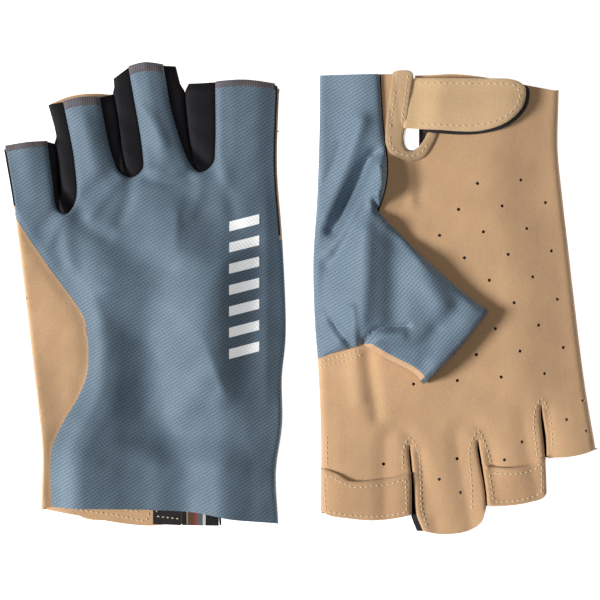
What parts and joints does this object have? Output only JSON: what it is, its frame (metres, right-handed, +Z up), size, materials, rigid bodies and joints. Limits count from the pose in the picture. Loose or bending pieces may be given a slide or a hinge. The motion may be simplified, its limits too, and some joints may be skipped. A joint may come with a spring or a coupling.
{
  "type": "sailing gloves",
  "caption": "Pair of short-finger sailing gloves with knit backs, suede palms, stretch sides between the fingers, pull tabs on fingertips and hook-and-loop wrist straps.",
  "frame": {"origin": "on the table, under the middle of the pair's bounding box", "axes": "+Z up from the table, +X from the left glove to the right glove, +Y towards the left glove's fingertips and the right glove's cuff"},
  "size_m": [0.2198, 0.1741, 0.0159],
  "materials": {
    "knit_blue": "fine diagonal micro-mesh knit, matt with a soft sheen",
    "suede_tan": "short-nap synthetic suede",
    "stretch_black": "smooth stretch jersey with a faint sheen",
    "tape_black": "hook, loop and woven backing tape",
    "hem_grey": "folded and overlocked knit edge",
    "label_weave": "woven tape with plain bands of colour",
    "thread_cream": "twisted sewing thread"
  },
  "bodies": {
    "right_hand": {"right_back_panel": "knit_blue", "right_palm_panel": "suede_tan", "right_slit_facing": "suede_tan", "right_loop_patch": "tape_black", "right_slit_underlay": "tape_black", "right_size_label": "label_weave", "right_facing_stitching": "thread_cream", "right_crotch_stitching": "thread_cream"},
    "right_fingers": {"right_finger_backs": "knit_blue", "right_finger_palms": "suede_tan", "right_index_middle_fourchette": "stretch_black", "right_middle_ring_fourchette": "stretch_black", "right_ring_little_fourchette": "stretch_black", "right_index_hem": "hem_grey", "right_middle_hem": "hem_grey", "right_ring_hem": "hem_grey", "right_little_hem": "hem_grey", "right_index_pull_tab": "suede_tan", "right_ring_pull_tab": "suede_tan", "right_slit_stitching": "thread_cream", "right_tab_stitching": "thread_cream"},
    "right_thumb": {"right_thumb_back": "knit_blue", "right_thumb_palm": "suede_tan", "right_thumb_hem": "hem_grey"},
    "right_strap": {"right_wrist_strap": "suede_tan", "right_hook_patch": "tape_black", "right_strap_stitching": "thread_cream"},
    "left_hand": {"left_back_panel": "knit_blue", "left_palm_panel": "suede_tan", "left_slit_facing": "suede_tan", "left_loop_patch": "tape_black", "left_slit_underlay": "tape_black", "left_size_label": "label_weave", "left_facing_stitching": "thread_cream", "left_crotch_stitching": "thread_cream"},
    "left_fingers": {"left_finger_backs": "knit_blue", "left_finger_palms": "suede_tan", "left_index_middle_fourchette": "stretch_black", "left_middle_ring_fourchette": "stretch_black", "left_ring_little_fourchette": "stretch_black", "left_index_hem": "hem_grey", "left_middle_hem": "hem_grey", "left_ring_hem": "hem_grey", "left_little_hem": "hem_grey", "left_index_pull_tab": "suede_tan", "left_ring_pull_tab": "suede_tan", "left_slit_stitching": "thread_cream", "left_tab_stitching": "thread_cream"},
    "left_thumb": {"left_thumb_back": "knit_blue", "left_thumb_palm": "suede_tan", "left_thumb_hem": "hem_grey"},
    "left_strap": {"left_wrist_strap": "suede_tan", "left_hook_patch": "tape_black", "left_strap_stitching": "thread_cream"}
  },
  "joints": [
    {"name": "left_glove_lift", "type": "slide", "parent": "right_hand", "child": "left_hand", "axis": [0, 0, 1], "range_m": [0, 0.15]},
    {"name": "right_finger_fold", "type": "hinge", "parent": "right_hand", "child": "right_fingers", "pos_m": [0.0575, -0.0316, 0.0092], "axis": [-1, 0, 0], "range_deg": [0, 90]},
    {"name": "left_finger_fold", "type": "hinge", "parent": "left_hand", "child": "left_fingers", "pos_m": [-0.0575, 0.0316, 0.0159], "axis": [1, 0, 0], "range_deg": [0, 90]},
    {"name": "right_thumb_swing", "type": "hinge", "parent": "right_hand", "child": "right_thumb", "pos_m": [0.0288, 0.0329, 0.0127], "axis": [-0.1191, -0.9929, 0], "range_deg": [0, 160]},
    {"name": "left_thumb_swing", "type": "hinge", "parent": "left_hand", "child": "left_thumb", "pos_m": [-0.0288, -0.0329, 0.0032], "axis": [-0.1191, -0.9929, 0], "range_deg": [0, 160]},
    {"name": "right_strap_peel", "type": "hinge", "parent": "right_hand", "child": "right_strap", "pos_m": [0.041, 0.072, 0.0114], "axis": [0, -1, 0], "range_deg": [0, 180]},
    {"name": "left_strap_peel", "type": "hinge", "parent": "left_hand", "child": "left_strap", "pos_m": [-0.041, -0.072, 0.0011], "axis": [0, -1, 0], "range_deg": [0, 180]}
  ]
}
